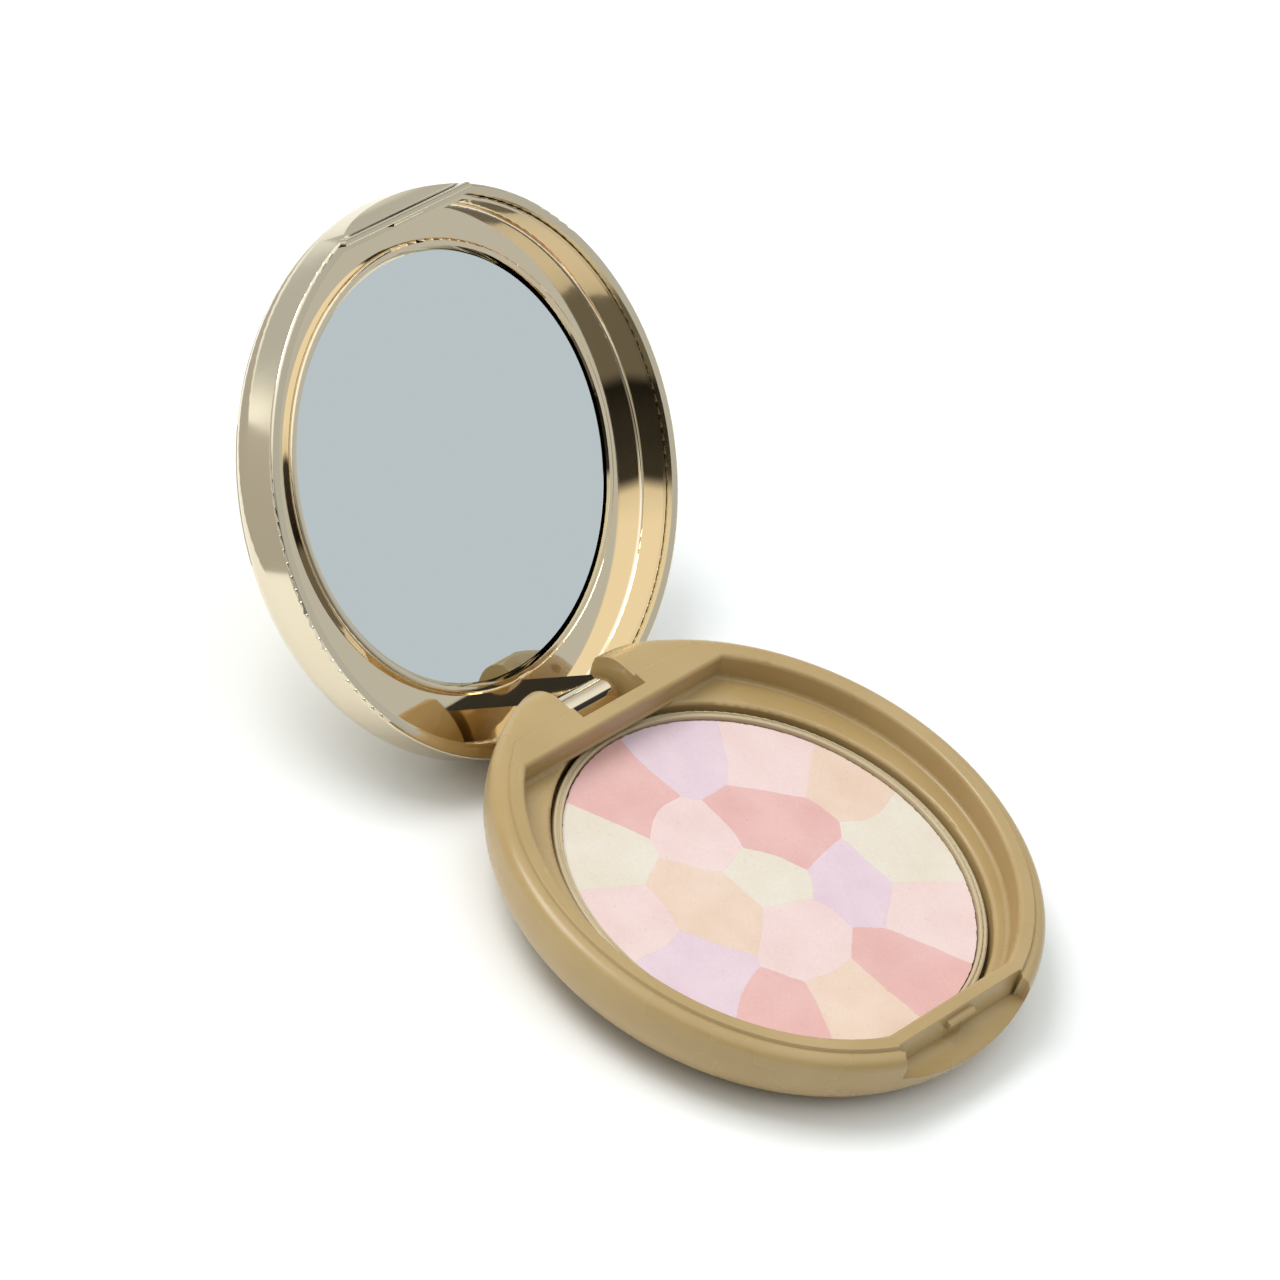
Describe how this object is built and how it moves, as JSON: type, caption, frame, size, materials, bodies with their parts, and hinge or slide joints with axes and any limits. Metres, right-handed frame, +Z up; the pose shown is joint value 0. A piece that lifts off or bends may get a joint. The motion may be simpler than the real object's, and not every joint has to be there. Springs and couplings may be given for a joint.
{
  "type": "powder compact",
  "caption": "Round hinged powder compact, open: moulded base with a pan of mosaic pressed powder, and a metallised lid with a round mirror.",
  "frame": {"origin": "centre of the base's flat underside", "axes": "+Z up through the powder, +Y from the centre to the hinge, +X to the right along the hinge pin"},
  "size_m": [0.077, 0.1314, 0.0578],
  "materials": {
    "base_plastic": "satin",
    "pan_metal": "satin",
    "adhesive": "matte",
    "powder_cream": "matte",
    "powder_peach": "matte",
    "powder_rose": "matte",
    "powder_pink": "matte",
    "powder_lilac": "matte",
    "pin_steel": "drawn",
    "lid_gold": "vacuum metallised, bright",
    "mirror_glass": "silvered",
    "tape": "matte"
  },
  "bodies": {
    "base": {"base_shell": "base_plastic", "base_cover": "base_plastic", "pan_ring": "base_plastic", "pan_tray": "pan_metal", "pan_adhesive": "adhesive", "powder_cream": "powder_cream", "powder_peach": "powder_peach", "powder_rose": "powder_rose", "powder_pink": "powder_pink", "powder_lilac": "powder_lilac", "hinge_pin": "pin_steel"},
    "lid": {"lid_shell": "lid_gold", "lid_frame": "lid_gold", "mirror": "mirror_glass", "mirror_tape": "tape"}
  },
  "joints": [
    {"name": "lid_hinge", "type": "hinge", "parent": "base", "child": "lid", "pos_m": [0, 0.0338, 0.00665], "axis": [-1, 0, 0], "range_deg": [-135.3, 0]}
  ]
}
